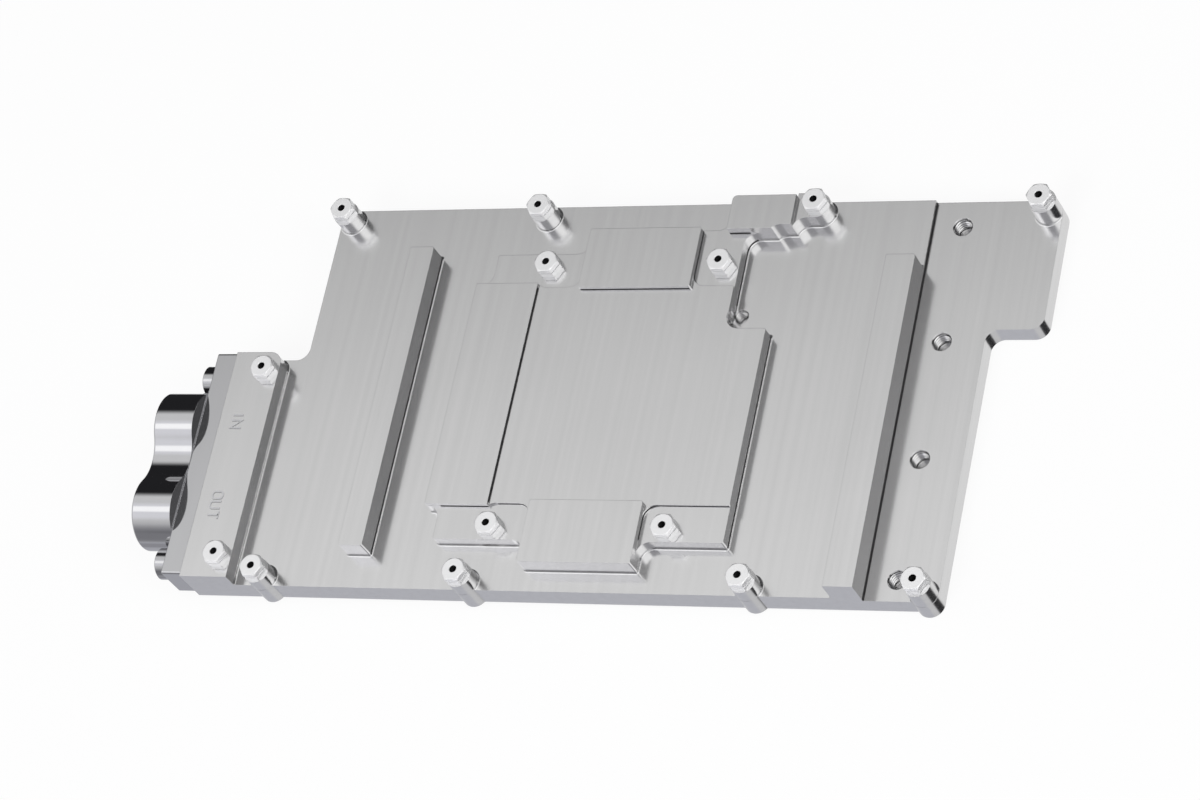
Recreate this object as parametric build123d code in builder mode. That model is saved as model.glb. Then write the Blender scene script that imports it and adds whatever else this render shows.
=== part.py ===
from build123d import *
import math
import os

# Water block for a graphics card, seen from the side that lies on the card.
# Millimetres. The origin is the centre of the die pad's contact face,
# +X runs along the block away from the ports, +Z points at the card.

os.makedirs("parts", exist_ok=True)

# Heights of the machined levels, measured from the die pad's contact face
back_z = -9.4
floor_z = -3.7
end_floor_z = -4.8
platform_z = -0.6
left_pad_z = 0.6
boss_z = 0.4
row_pad_z = 1.1
tab_pad_z = 1.6
left_bar_z = 1.5
right_bar_z = 1.9

# Cutter marks and edge sizes
cutter_r = 3.0
corner_r = 0.4
tip_r = 0.15
foot_fillet = 0.4
lobe_blend = 0.8
tab_corner_r = 1.0

# Standoff places, in rows that follow the card's holes
top_row_y = 45.5
bottom_row_y = -43.2
top_row_x = [-73.95, -25.05, 40.15, 90.75]
bottom_row_x = [-73.95, -25.05, 40.15, 78.45]
core_hole_x = 20.45
core_hole_y = 31.65
strip_hole_x = -84.05
strip_hole_y = [5.5, -40.0]
strip_width = 11.6
boss_r = 2.95
edge_land = 0.05
blank_margin = 6.0
outline_cut_height = 15.0

# Plate outline
bottom_edge_y = -44.9
strip_top_y = 10.4
tab_bottom_y = 17.8
end_step_x = 65.3
lobe_r = boss_r + edge_land
top_edge_y = top_row_y + lobe_r
left_edge_x = top_row_x[0] - lobe_r
tab_edge_x = top_row_x[3] + lobe_r
right_edge_x = bottom_row_x[3] + lobe_r
strip_right_x = strip_hole_x + boss_r
seam_x = strip_right_x - strip_width

# Bars
left_bar_x = -54.9
left_bar_width = 5.75
left_bar_bottom_y = -37.3
left_bar_top_y = 36.1
right_bar_width = 6.6
right_bar_top_y = 32.4

# Platform round the die, and the pads on it
platform_left_x = -33.7
platform_right_x = 33.8
platform_bottom_y = -34.4
platform_top_y = 34.85
neck_x = 24.4
neck_y = 15.9
die_pad_left_x = -22.0
die_pad_bottom_y = -26.0
die_pad_top_y = 26.3
left_pad_x = -36.9
left_pad_bottom_y = -26.66
left_pad_top_y = 27.13
row_pad_left_x = -11.85
row_pad_right_x = 14.45
row_pad_inner_y = 25.6
row_pad_outer_y = 40.2

# Tab pad at the top edge and the ledge beside it
tab_pad_left_x = 20.65
tab_pad_right_x = 35.3
tab_pad_front_y = 39.4
tab_pad_back_y = 47.6
tab_step_x = 33.24
tab_foot_spare = 0.5
ledge_arc_x = 2.9
ledge_y = top_row_y - boss_r
tab_step_y = ledge_y - cutter_r + math.sqrt(cutter_r**2 - ledge_arc_x**2)

# Tapped holes
tapped_x = 72.0
tapped_first_y = 42.5
tapped_pitch = 27.5
tapped_count = 4
tapped_r = 2.0
tapped_depth = 3.6
tapped_chamfer = 0.2
small_hole_x = 25.9
small_hole_y = 20.7
small_hole_r = 1.5
small_hole_depth = 3.0
relief_r = 3.1
relief_undercut = 0.2
relief_lead = 0.3
relief_ease = 1.0

# Hexagonal standoffs
hex_flats = 5.0
hex_height = 2.9
hex_turn = 0
hex_top_chamfer = 0.35
hex_top_land = 0.1
hex_chamfer_slope = 1.0
hex_bottom_chamfer = 0.15
groove_top = 1.2
groove_width = 0.4
groove_depth = 0.25
thread_hole_r = 0.8
thread_hole_depth = 4.5
thread_hole_chamfer = 0.1
stud_r = 1.25
stud_length = 3.0
stud_chamfer = 0.2
stud_clearance = 0.05
stud_hole_spare = 0.3

# Coolant space milled from the back
cover_thickness = 1.2
channel_roof_z = -4.9
wet_end_wall = 8.2
wet_right_x = 26.0
wet_top_y = 20.0
wet_bottom_y = -31.4
shoulder_x = -26.0
channel_width = 8.0
wet_corner_r = 2.5
land_end_x = -17.0
inlet_rib = 2.0
cover_margin = 7.0
cover_clearance = 0.05
groove_inner = 1.2
seal_groove_width = 1.6
seal_groove_depth = 0.8
seal_side_gap = 0.1

# Fins under the die and the plate that guides the water onto them
fin_root_z = -2.2
fin_count = 20
fin_pitch = 1.4
fin_thickness = 0.7
fin_length = 26.0
fin_bay_extra = 4.0
jet_plate_thickness = 0.8
jet_rim = 1.5
jet_mouth = 4.5
jet_slot_width = 2.2
jet_clearance = 0.1

# Ports and the terminal that carries them
inlet_y = -6.85
outlet_y = -27.4
port_axis_z = -4.69
passage_axis_z = -4.2
passage_r = 2.6
passage_end_wall = 1.5
passage_overrun = 1.0
flange_thickness = 4.9
flange_end = 4.6
flange_back_gap = 0.5
flange_fillet = 0.5
flange_face_fillet = 0.25
port_body_length = 9.85
port_body_r = 8.46
port_neck_half = 5.09
port_body_fillet = 0.5
port_thread_r = 6.58
port_thread_depth = 9.5
port_mouth_chamfer = 0.6
ring_inner_r = 2.85
ring_section_r = 0.6
ring_side_gap = 0.1

# Cap screws of the terminal
cap_screw_gap = 0.36
cap_screw_axis_z = -4.7
cap_screw_r = 2.0
cap_head_r = 3.5
cap_head_height = 3.6
cap_head_chamfer = 0.3
cap_socket_flats = 3.0
cap_socket_depth = 2.0
cap_screw_length = 11.0
cap_screw_clearance = 0.25
tap_clearance = 0.02
tap_spare = 0.6

# Countersunk screws of the back cover
cover_screw_r = 1.0
cover_screw_head_r = 1.9
cover_screw_head_height = 0.9
cover_screw_length = 3.6
cover_screw_angle = 90
cover_screw_clearance = 0.12
seat_gap = 0.05
cover_screw_inset = 4.7
cover_socket_flats = 1.3
cover_socket_depth = 0.6

ledge_boss = (top_row_x[2], top_row_y)
seat_z = back_z + cover_thickness
wet_left_x = seam_x + wet_end_wall
land_top_y = inlet_y - channel_width / 2
land_bottom_y = outlet_y + channel_width / 2
cap_screw_grip = cap_screw_length - flange_thickness
cap_screw_offset = port_body_r + cap_screw_gap + cap_head_r
cap_screw_y = [inlet_y + cap_screw_offset, outlet_y - cap_screw_offset]
flange_top_y = cap_screw_y[0] + flange_end
flange_bottom_y = cap_screw_y[1] - flange_end
flange_mid_y = (flange_top_y + flange_bottom_y) / 2
flange_bottom_z = back_z + flange_back_gap
hex_corner_r = hex_flats / math.sqrt(3)
end_face_x = seam_x - flange_thickness
port_face_x = end_face_x - port_body_length


def rounded_outline(corners):
    """A closed outline through corners given as x, y and corner radius."""
    points = [(x, y) for x, y, radius in corners]
    radii = [radius for x, y, radius in corners]
    FilletPolyline(*points, radius=radii, close=True)


def wet_corners(grow):
    """The stepped outline of the coolant space, moved outwards by grow."""
    outer = wet_corner_r + grow
    inner = max(wet_corner_r - grow, corner_r)
    shoulder_y = inlet_y + channel_width / 2
    return [
        (wet_left_x - grow, wet_bottom_y - grow, outer),
        (wet_right_x + grow, wet_bottom_y - grow, outer),
        (wet_right_x + grow, wet_top_y + grow, outer),
        (shoulder_x - grow, wet_top_y + grow, outer),
        (shoulder_x - grow, shoulder_y + grow, inner),
        (wet_left_x - grow, shoulder_y + grow, outer),
    ]


def neck_corners():
    """The inner corner at the neck, where the cutter ran a little into the wall."""
    reach = math.sqrt(relief_r**2 - (relief_r - relief_undercut) ** 2)
    return [
        (neck_x - relief_undercut, neck_y, relief_r),
        (neck_x - relief_undercut, neck_y + relief_r + relief_lead, relief_ease),
        (neck_x, neck_y + relief_r + reach, relief_ease),
    ]


def island_corners():
    """The raised island at the height of the main floor, counter-clockwise."""
    left = platform_left_x
    right = platform_right_x
    return [
        (left, platform_bottom_y, corner_r),
        (row_pad_left_x, platform_bottom_y, cutter_r),
        (row_pad_left_x, -row_pad_outer_y, corner_r),
        (row_pad_right_x, -row_pad_outer_y, corner_r),
        (row_pad_right_x, platform_bottom_y, cutter_r),
        (right, platform_bottom_y, corner_r),
        (right, neck_y, corner_r),
        *neck_corners(),
        (neck_x, tab_pad_front_y, cutter_r),
        (neck_x + cutter_r + tab_foot_spare, tab_pad_front_y, 0),
        (neck_x + cutter_r + tab_foot_spare, tab_pad_back_y, 0),
        (tab_pad_left_x, tab_pad_back_y, tab_corner_r),
        (tab_pad_left_x, row_pad_outer_y, cutter_r),
        (row_pad_left_x, row_pad_outer_y, corner_r),
        (row_pad_left_x, platform_top_y, cutter_r),
        (left, platform_top_y, corner_r),
        (left, left_pad_top_y, cutter_r),
        (left_pad_x, left_pad_top_y, tip_r),
        (left_pad_x, left_pad_bottom_y, tip_r),
        (left, left_pad_bottom_y, cutter_r),
    ]


def die_pad_corners():
    """The die pad's outline, tangent to the row pads through cutter arcs."""
    return [
        (die_pad_left_x, die_pad_bottom_y, 0),
        (row_pad_left_x, die_pad_bottom_y, cutter_r),
        (row_pad_left_x, -row_pad_outer_y + cutter_r, 0),
        (row_pad_right_x, -row_pad_outer_y + cutter_r, 0),
        (row_pad_right_x, die_pad_bottom_y, cutter_r),
        (platform_right_x, die_pad_bottom_y, corner_r),
        (platform_right_x, neck_y, corner_r),
        *neck_corners(),
        (neck_x, die_pad_top_y, corner_r),
        (row_pad_right_x, die_pad_top_y, cutter_r),
        (row_pad_right_x, row_pad_outer_y - cutter_r, 0),
        (row_pad_left_x, row_pad_outer_y - cutter_r, 0),
        (row_pad_left_x, die_pad_top_y, cutter_r),
        (die_pad_left_x, die_pad_top_y, 0),
    ]


def step_fill(pad_y, die_y, side):
    """The cutter's arc where the die pad's edge runs onto the end of the left pad."""
    rise = abs(pad_y - die_y)
    run = math.sqrt(cutter_r**2 - (cutter_r - rise) ** 2)
    with Locations((die_pad_left_x + run / 2, (pad_y + die_y) / 2)):
        Rectangle(run, rise)
    with Locations((die_pad_left_x + run, die_y + side * cutter_r)):
        Circle(cutter_r, mode=Mode.SUBTRACT)


def tab_pad_corners():
    """The tab pad before its front wall steps back."""
    return [
        (tab_pad_left_x, tab_pad_front_y, 0),
        (tab_pad_right_x, tab_pad_front_y, 0),
        (tab_pad_right_x, tab_pad_back_y, 0),
        (tab_pad_left_x, tab_pad_back_y, tab_corner_r),
    ]


def tab_pad_step():
    """Takes the step out of the tab pad's front wall."""
    with Locations((tab_step_x, tab_step_y - cutter_r)):
        Circle(cutter_r, mode=Mode.SUBTRACT)
    with Locations((tab_step_x, tab_step_y)):
        Rectangle(cutter_r, cutter_r, align=(Align.MIN, Align.MAX), mode=Mode.SUBTRACT)


def ledge_face():
    """The ledge between the tab pad and the boss beside it."""
    with Locations((tab_pad_right_x, ledge_y - cutter_r)):
        Rectangle(ledge_arc_x, cutter_r, align=(Align.MIN, Align.MIN))
    with Locations((tab_pad_right_x + ledge_arc_x, ledge_y - cutter_r)):
        Circle(cutter_r, mode=Mode.SUBTRACT)
    with Locations((tab_pad_right_x, ledge_y)):
        Rectangle(
            top_row_x[2] - tab_pad_right_x,
            top_edge_y + blank_margin - ledge_y,
            align=(Align.MIN, Align.MIN),
        )


outer_places = [(x, top_row_y) for x in top_row_x] + [(x, bottom_row_y) for x in bottom_row_x]
core_places = [
    (-core_hole_x, core_hole_y),
    (core_hole_x, core_hole_y),
    (-core_hole_x, -core_hole_y),
    (core_hole_x, -core_hole_y),
]
strip_places = [(strip_hole_x, y) for y in strip_hole_y]
tapped_places = [(tapped_x, tapped_first_y - i * tapped_pitch) for i in range(tapped_count)]
fin_places = [(i - (fin_count - 1) / 2) * fin_pitch for i in range(fin_count)]
bay_x = fin_count * fin_pitch / 2 + fin_thickness / 2
bay_y = fin_length / 2 + fin_bay_extra
screw_edge = cover_screw_inset
screw_corner = (wet_corner_r + cover_screw_inset) * math.sqrt(0.5) - wet_corner_r
upper_edge_y = inlet_y + channel_width / 2 + screw_edge
lower_edge_y = wet_bottom_y - screw_edge
cover_screw_places = [
    (wet_right_x + screw_corner, wet_top_y + screw_corner),
    (wet_right_x + screw_edge, (wet_top_y + wet_bottom_y) / 2),
    (wet_right_x + screw_corner, wet_bottom_y - screw_corner),
    ((shoulder_x + wet_right_x) / 2, wet_top_y + screw_edge),
    ((shoulder_x + wet_right_x) / 2, lower_edge_y),
    (shoulder_x - screw_corner, wet_top_y + screw_corner),
    (shoulder_x, lower_edge_y),
    ((wet_left_x + shoulder_x) / 2, upper_edge_y),
    ((wet_left_x + shoulder_x) / 2, lower_edge_y),
    (wet_left_x - screw_corner, inlet_y + channel_width / 2 + screw_corner),
    (wet_left_x - screw_corner, wet_bottom_y - screw_corner),
]

# The plate is milled from one slab of nickel plated copper
with BuildPart() as cold_plate:
    # Blank, wider than the finished plate all round
    with BuildSketch(Plane.XY.offset(back_z)):
        with Locations((seam_x - blank_margin, bottom_edge_y - blank_margin)):
            Rectangle(
                tab_edge_x - seam_x + 2 * blank_margin,
                top_edge_y - bottom_edge_y + 2 * blank_margin,
                align=(Align.MIN, Align.MIN),
            )
    extrude(amount=floor_z - back_z)

    # The right end is one step lower
    with BuildSketch(Plane.XY.offset(end_floor_z)):
        with Locations((end_step_x, bottom_edge_y - blank_margin)):
            Rectangle(
                tab_edge_x - end_step_x + blank_margin,
                top_edge_y - bottom_edge_y + 2 * blank_margin,
                align=(Align.MIN, Align.MIN),
            )
    extrude(amount=floor_z - end_floor_z, mode=Mode.SUBTRACT)

    # Round bosses under the outer standoffs. The nose of the cutter leaves
    # a small fillet at the foot of these and of every wall on the floor.
    for x, y in outer_places:
        level = end_floor_z if x > end_step_x else floor_z
        with BuildSketch(Plane.XY.offset(level)):
            with Locations((x, y)):
                Circle(boss_r)
        extrude(amount=boss_z - level)
        if (x, y) != ledge_boss:
            fillet(edges(Select.LAST).filter_by_position(Axis.Z, level, level), foot_fillet)

    # Strip along the port end
    with BuildSketch(Plane.XY.offset(floor_z)):
        with BuildLine():
            rounded_outline([
                (seam_x - blank_margin, bottom_edge_y - blank_margin, 0),
                (strip_right_x, bottom_edge_y - blank_margin, 0),
                (strip_right_x, strip_top_y - edge_land, cutter_r),
                (seam_x - blank_margin, strip_top_y - edge_land, 0),
            ])
        make_face()
    extrude(amount=boss_z - floor_z)
    strip_wall = faces(Select.LAST).filter_by(Axis.X).sort_by(Axis.X)[-1]
    fillet(strip_wall.edges().filter_by_position(Axis.Z, floor_z, floor_z), foot_fillet)

    # Two bars across the floor
    with BuildSketch(Plane.XY.offset(floor_z)):
        with BuildLine():
            rounded_outline([
                (left_bar_x, left_bar_bottom_y, corner_r),
                (left_bar_x + left_bar_width, left_bar_bottom_y, corner_r),
                (left_bar_x + left_bar_width, left_bar_top_y, corner_r),
                (left_bar_x, left_bar_top_y, corner_r),
            ])
        make_face()
    extrude(amount=left_bar_z - floor_z)
    fillet(edges(Select.LAST).filter_by_position(Axis.Z, floor_z, floor_z), foot_fillet)
    with BuildSketch(Plane.XY.offset(floor_z)):
        with BuildLine():
            rounded_outline([
                (end_step_x - right_bar_width, bottom_edge_y - blank_margin, 0),
                (end_step_x, bottom_edge_y - blank_margin, 0),
                (end_step_x, right_bar_top_y, corner_r),
                (end_step_x - right_bar_width, right_bar_top_y, corner_r),
            ])
        make_face()
    extrude(amount=right_bar_z - floor_z)
    bar_wall = faces(Select.LAST).filter_by(Axis.X).sort_by(Axis.X)[0]
    fillet(bar_wall.edges().filter_by_position(Axis.Z, floor_z, floor_z), foot_fillet)

    # Island round the die, with the feet of the tab pad and the ledge beside it
    with BuildSketch(Plane.XY.offset(floor_z)):
        with BuildLine():
            rounded_outline(island_corners())
        make_face()
        with BuildLine():
            rounded_outline(tab_pad_corners())
        make_face()
        tab_pad_step()
        ledge_face()
    extrude(amount=platform_z - floor_z)
    island_foot = edges(Select.LAST).filter_by_position(Axis.Z, floor_z, floor_z)
    on_plate = (bottom_edge_y, top_edge_y + blank_margin - foot_fillet)
    fillet(island_foot.filter_by_position(Axis.Y, *on_plate), foot_fillet)

    # Die pad, with short cutter arcs where it meets the left pad
    with BuildSketch(Plane.XY.offset(platform_z)):
        step_fill(left_pad_top_y, die_pad_top_y, 1)
        step_fill(left_pad_bottom_y, die_pad_bottom_y, -1)
        with BuildLine():
            rounded_outline(die_pad_corners())
        make_face()
    extrude(amount=-platform_z)

    # Left pad and the two row pads for the memory chips
    with BuildSketch(Plane.XY.offset(platform_z)):
        with BuildLine():
            rounded_outline([
                (left_pad_x, left_pad_bottom_y, tip_r),
                (die_pad_left_x, left_pad_bottom_y, 0),
                (die_pad_left_x, left_pad_top_y, 0),
                (left_pad_x, left_pad_top_y, tip_r),
            ])
        make_face()
    extrude(amount=left_pad_z - platform_z)
    with BuildSketch(Plane.XY.offset(platform_z)):
        for side in (1, -1):
            with BuildLine():
                rounded_outline([
                    (row_pad_left_x, side * row_pad_inner_y, corner_r),
                    (row_pad_right_x, side * row_pad_inner_y, corner_r),
                    (row_pad_right_x, side * row_pad_outer_y, corner_r),
                    (row_pad_left_x, side * row_pad_outer_y, corner_r),
                ])
            make_face()
    extrude(amount=row_pad_z - platform_z)

    # Tab pad, and the ledge between it and the boss
    with BuildSketch(Plane.XY.offset(platform_z)):
        with BuildLine():
            rounded_outline(tab_pad_corners())
        make_face()
        tab_pad_step()
    extrude(amount=tab_pad_z - platform_z)
    with BuildSketch(Plane.XY.offset(platform_z)):
        ledge_face()
    extrude(amount=boss_z - platform_z)

    # Outline, cut last: lobes follow the bosses, with the tab at the top right
    with BuildSketch(Plane.XY.offset(back_z)):
        with BuildLine():
            rounded_outline([
                (seam_x, bottom_edge_y, 0),
                (bottom_row_x[3], bottom_edge_y, 0),
                (bottom_row_x[3], bottom_row_y, 0),
                (right_edge_x, bottom_row_y, 0),
                (right_edge_x, tab_bottom_y, cutter_r),
                (tab_edge_x, tab_bottom_y, cutter_r),
                (tab_edge_x, top_edge_y, lobe_r),
                (left_edge_x, top_edge_y, lobe_r),
                (left_edge_x, strip_top_y, cutter_r),
                (seam_x, strip_top_y, 0),
            ])
        make_face()
        with Locations(*[(x, bottom_row_y) for x in bottom_row_x]):
            Circle(lobe_r)
        slab_corners = vertices().filter_by_position(Axis.Y, bottom_edge_y, bottom_edge_y)
        lobe_corners = slab_corners.sort_by(Axis.X)[1:]
        fillet(lobe_corners, lobe_blend)
    extrude(amount=outline_cut_height, mode=Mode.INTERSECT)

    # Tapped holes in the lower end and the small one in the relieved corner
    with Locations(*[(x, y, end_floor_z) for x, y in tapped_places]):
        CounterSinkHole(tapped_r, tapped_r + tapped_chamfer, depth=tapped_depth)
    with Locations((small_hole_x, small_hole_y, floor_z)):
        CounterSinkHole(small_hole_r, small_hole_r + tapped_chamfer, depth=small_hole_depth)

    # Threaded holes that take the studs of the standoffs
    stud_hole_r = stud_r + stud_clearance
    stud_hole_depth = stud_length + stud_hole_spare
    with Locations(*[(x, y, boss_z) for x, y in outer_places + strip_places]):
        Hole(stud_hole_r, depth=stud_hole_depth)
    with Locations(*[(x, y, platform_z) for x, y in core_places]):
        Hole(stud_hole_r, depth=stud_hole_depth)

    # Coolant space: a milled pocket whose middle land keeps inlet and outlet apart
    with BuildSketch(Plane.XY.offset(back_z)):
        with BuildLine():
            rounded_outline(wet_corners(cover_margin + cover_clearance))
        make_face()
    extrude(amount=cover_thickness, mode=Mode.SUBTRACT)
    with BuildSketch(Plane.XY.offset(seat_z)):
        with BuildLine():
            rounded_outline(wet_corners(0))
        make_face()
        with BuildLine():
            rounded_outline([
                (wet_left_x - wet_corner_r, land_bottom_y, 0),
                (land_end_x, land_bottom_y, cutter_r),
                (land_end_x, land_top_y, 0),
                (wet_left_x - wet_corner_r, land_top_y, 0),
            ])
        make_face(mode=Mode.SUBTRACT)
        with Locations((shoulder_x - wet_corner_r, inlet_y + channel_width / 2)):
            Rectangle(
                land_end_x - shoulder_x + wet_corner_r,
                inlet_rib,
                align=(Align.MIN, Align.MIN),
                mode=Mode.SUBTRACT,
            )
    extrude(amount=channel_roof_z - seat_z, mode=Mode.SUBTRACT)

    # Deep bay under the die, with the fins left standing in it
    with BuildSketch(Plane.XY.offset(channel_roof_z)):
        Rectangle(2 * bay_x, 2 * bay_y)
        with Locations(*[(x, 0) for x in fin_places]):
            Rectangle(fin_thickness, fin_length, mode=Mode.SUBTRACT)
    extrude(amount=fin_root_z - channel_roof_z, mode=Mode.SUBTRACT)

    # Groove for the cover's seal
    with BuildSketch(Plane.XY.offset(seat_z)):
        with BuildLine():
            rounded_outline(wet_corners(groove_inner + seal_groove_width))
        make_face()
        with BuildLine():
            rounded_outline(wet_corners(groove_inner))
        make_face(mode=Mode.SUBTRACT)
    extrude(amount=seal_groove_depth, mode=Mode.SUBTRACT)

    # Passages from the ports, and the holes for the terminal's screws
    with BuildSketch(Plane.YZ.offset(seam_x)):
        with Locations((inlet_y, passage_axis_z), (outlet_y, passage_axis_z)):
            Circle(passage_r)
    extrude(amount=strip_right_x - passage_end_wall - seam_x, mode=Mode.SUBTRACT)
    with BuildSketch(Plane.YZ.offset(seam_x)):
        with Locations(*[(y, cap_screw_axis_z) for y in cap_screw_y]):
            Circle(cap_screw_r + tap_clearance)
    extrude(amount=cap_screw_grip + tap_spare, mode=Mode.SUBTRACT)

    # Holes for the cover's screws
    with BuildSketch(Plane.XY.offset(seat_z)):
        with Locations(*cover_screw_places):
            Circle(cover_screw_r + tap_clearance)
    extrude(amount=cover_screw_length - cover_thickness + tap_spare, mode=Mode.SUBTRACT)

cold_plate.part.label = "cold_plate"
export_step(cold_plate.part, "parts/cold_plate.step")

# Cover let into the back of the plate
with BuildPart() as back_cover:
    with BuildSketch(Plane.XY.offset(back_z)):
        with BuildLine():
            rounded_outline(wet_corners(cover_margin))
        make_face()
    extrude(amount=cover_thickness)
    with Locations(Plane.XY.offset(back_z).rotated((180, 0, 0))):
        with Locations(*[(x, -y) for x, y in cover_screw_places]):
            CounterSinkHole(
                cover_screw_r + cover_screw_clearance,
                cover_screw_head_r + seat_gap,
                counter_sink_angle=cover_screw_angle,
            )

back_cover.part.label = "back_cover"
export_step(back_cover.part, "parts/back_cover.step")

# Rubber seal in its groove round the coolant space
with BuildPart() as cover_seal:
    with BuildSketch(Plane.XY.offset(seat_z)):
        with BuildLine():
            rounded_outline(wet_corners(groove_inner + seal_groove_width - seal_side_gap))
        make_face()
        with BuildLine():
            rounded_outline(wet_corners(groove_inner + seal_side_gap))
        make_face(mode=Mode.SUBTRACT)
    extrude(amount=seal_groove_depth)

cover_seal.part.label = "cover_seal"
export_step(cover_seal.part, "parts/cover_seal.step")

# Insert that covers the fins and leads the water through its slot
with BuildPart() as jet_plate:
    jet_x = bay_x - jet_clearance
    jet_y = fin_length / 2
    with BuildSketch(Plane.XY.offset(channel_roof_z)):
        Rectangle(2 * jet_x, 2 * jet_y)
        Rectangle(2 * jet_x - 2 * jet_rim, jet_slot_width, mode=Mode.SUBTRACT)
    extrude(amount=-jet_plate_thickness)
    with BuildSketch(Plane.XY.offset(channel_roof_z - jet_plate_thickness)):
        Rectangle(2 * jet_x, 2 * jet_y)
        Rectangle(2 * jet_x - 2 * jet_rim, 2 * jet_y - 2 * jet_rim, mode=Mode.SUBTRACT)
        with Locations((-jet_x, inlet_y)):
            Rectangle(jet_mouth, channel_width, mode=Mode.SUBTRACT)
    extrude(amount=seat_z - channel_roof_z + jet_plate_thickness)

jet_plate.part.label = "jet_plate"
export_step(jet_plate.part, "parts/jet_plate.step")

# Countersunk screws of the cover
with BuildPart() as cover_screws:
    with BuildSketch(Plane.XY.offset(back_z)):
        with Locations(*cover_screw_places):
            Circle(cover_screw_r)
    extrude(amount=cover_screw_length)
    with Locations(*[(x, y, back_z) for x, y in cover_screw_places]):
        Cone(
            cover_screw_head_r,
            cover_screw_r,
            cover_screw_head_height,
            align=(Align.CENTER, Align.CENTER, Align.MIN),
        )
    with BuildSketch(Plane.XY.offset(back_z)):
        with Locations(*cover_screw_places):
            RegularPolygon(cover_socket_flats / 2, 6, major_radius=False)
    extrude(amount=cover_socket_depth, mode=Mode.SUBTRACT)

cover_screws.part.label = "cover_screws"
export_step(cover_screws.part, "parts/cover_screws.step")

# Twin port terminal, one piece with its flange
with BuildPart() as port_terminal:
    with BuildSketch(Plane.YZ.offset(seam_x)):
        with Locations((flange_mid_y, (boss_z + flange_bottom_z) / 2)):
            Rectangle(flange_top_y - flange_bottom_y, boss_z - flange_bottom_z)
    extrude(amount=-flange_thickness)
    fillet(edges().filter_by(Axis.X), flange_fillet)
    fillet(faces().sort_by(Axis.X)[0].edges(), flange_face_fillet)

    # The body round both ports has a waist between them
    with BuildSketch(Plane.YZ.offset(end_face_x)):
        with BuildLine():
            half = (inlet_y - outlet_y) / 2
            middle = (inlet_y + outlet_y) / 2
            waist_depth = port_body_r - port_neck_half
            blend_r = (half**2 + port_neck_half**2 - port_body_r**2) / (2 * waist_depth)
            blend_z = port_neck_half + blend_r
            tilt = math.degrees(math.atan2(blend_z, half))
            lobe = 360 - 2 * tilt
            waist = 180 - 2 * tilt
            CenterArc((middle + half, port_axis_z), port_body_r, tilt - 180, lobe)
            CenterArc((middle - half, port_axis_z), port_body_r, tilt, lobe)
            CenterArc((middle, port_axis_z + blend_z), blend_r, 180 + tilt, waist)
            CenterArc((middle, port_axis_z - blend_z), blend_r, tilt, waist)
        make_face()
    extrude(amount=-port_body_length)
    fillet(faces().sort_by(Axis.X)[0].edges(), port_body_fillet)

    # Threaded ports, with passages through the flange
    for y in (inlet_y, outlet_y):
        with BuildSketch(Plane.YZ.offset(port_face_x)):
            with Locations((y, port_axis_z)):
                Circle(port_thread_r)
        extrude(amount=port_thread_depth, mode=Mode.SUBTRACT)
    mouths = faces().sort_by(Axis.X)[0].inner_wires().edges()
    chamfer(mouths, port_mouth_chamfer)
    with BuildSketch(Plane.YZ.offset(seam_x)):
        with Locations((inlet_y, passage_axis_z), (outlet_y, passage_axis_z)):
            Circle(passage_r)
    extrude(amount=port_face_x + port_thread_depth - passage_overrun - seam_x, mode=Mode.SUBTRACT)

    # Grooves for the two rings, and the holes of the cap screws
    with BuildSketch(Plane.YZ.offset(seam_x)):
        with Locations((inlet_y, passage_axis_z), (outlet_y, passage_axis_z)):
            Circle(ring_inner_r + 2 * ring_section_r + ring_side_gap)
            Circle(ring_inner_r - ring_side_gap, mode=Mode.SUBTRACT)
    extrude(amount=-2 * ring_section_r, mode=Mode.SUBTRACT)
    with BuildSketch(Plane.YZ.offset(seam_x)):
        with Locations(*[(y, cap_screw_axis_z) for y in cap_screw_y]):
            Circle(cap_screw_r + cap_screw_clearance)
    extrude(amount=-flange_thickness, mode=Mode.SUBTRACT)

port_terminal.part.label = "port_terminal"
export_step(port_terminal.part, "parts/port_terminal.step")

# Rings between the terminal and the plate
for name, y in (("port_seal_in", inlet_y), ("port_seal_out", outlet_y)):
    with BuildPart() as port_seal:
        with BuildSketch(Plane.XY.offset(passage_axis_z)):
            with Locations((seam_x - ring_section_r, y + ring_inner_r + ring_section_r)):
                Circle(ring_section_r)
        revolve(axis=Axis((0, y, passage_axis_z), (1, 0, 0)))
    port_seal.part.label = name
    export_step(port_seal.part, f"parts/{name}.step")

# Socket cap screws of the terminal
for name, y in zip(("terminal_screw_upper", "terminal_screw_lower"), cap_screw_y):
    with BuildPart() as cap_screw:
        with BuildSketch(Plane.YZ.offset(end_face_x)):
            with Locations((y, cap_screw_axis_z)):
                Circle(cap_head_r)
        extrude(amount=-cap_head_height)
        chamfer(faces().sort_by(Axis.X)[0].edges(), cap_head_chamfer)
        with BuildSketch(Plane.YZ.offset(end_face_x)):
            with Locations((y, cap_screw_axis_z)):
                Circle(cap_screw_r)
        extrude(amount=cap_screw_length)
        with BuildSketch(Plane.YZ.offset(end_face_x - cap_head_height)):
            with Locations((y, cap_screw_axis_z)):
                RegularPolygon(cap_socket_flats / 2, 6, major_radius=False)
        extrude(amount=cap_socket_depth, mode=Mode.SUBTRACT)
    cap_screw.part.label = name
    export_step(cap_screw.part, f"parts/{name}.step")

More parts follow.
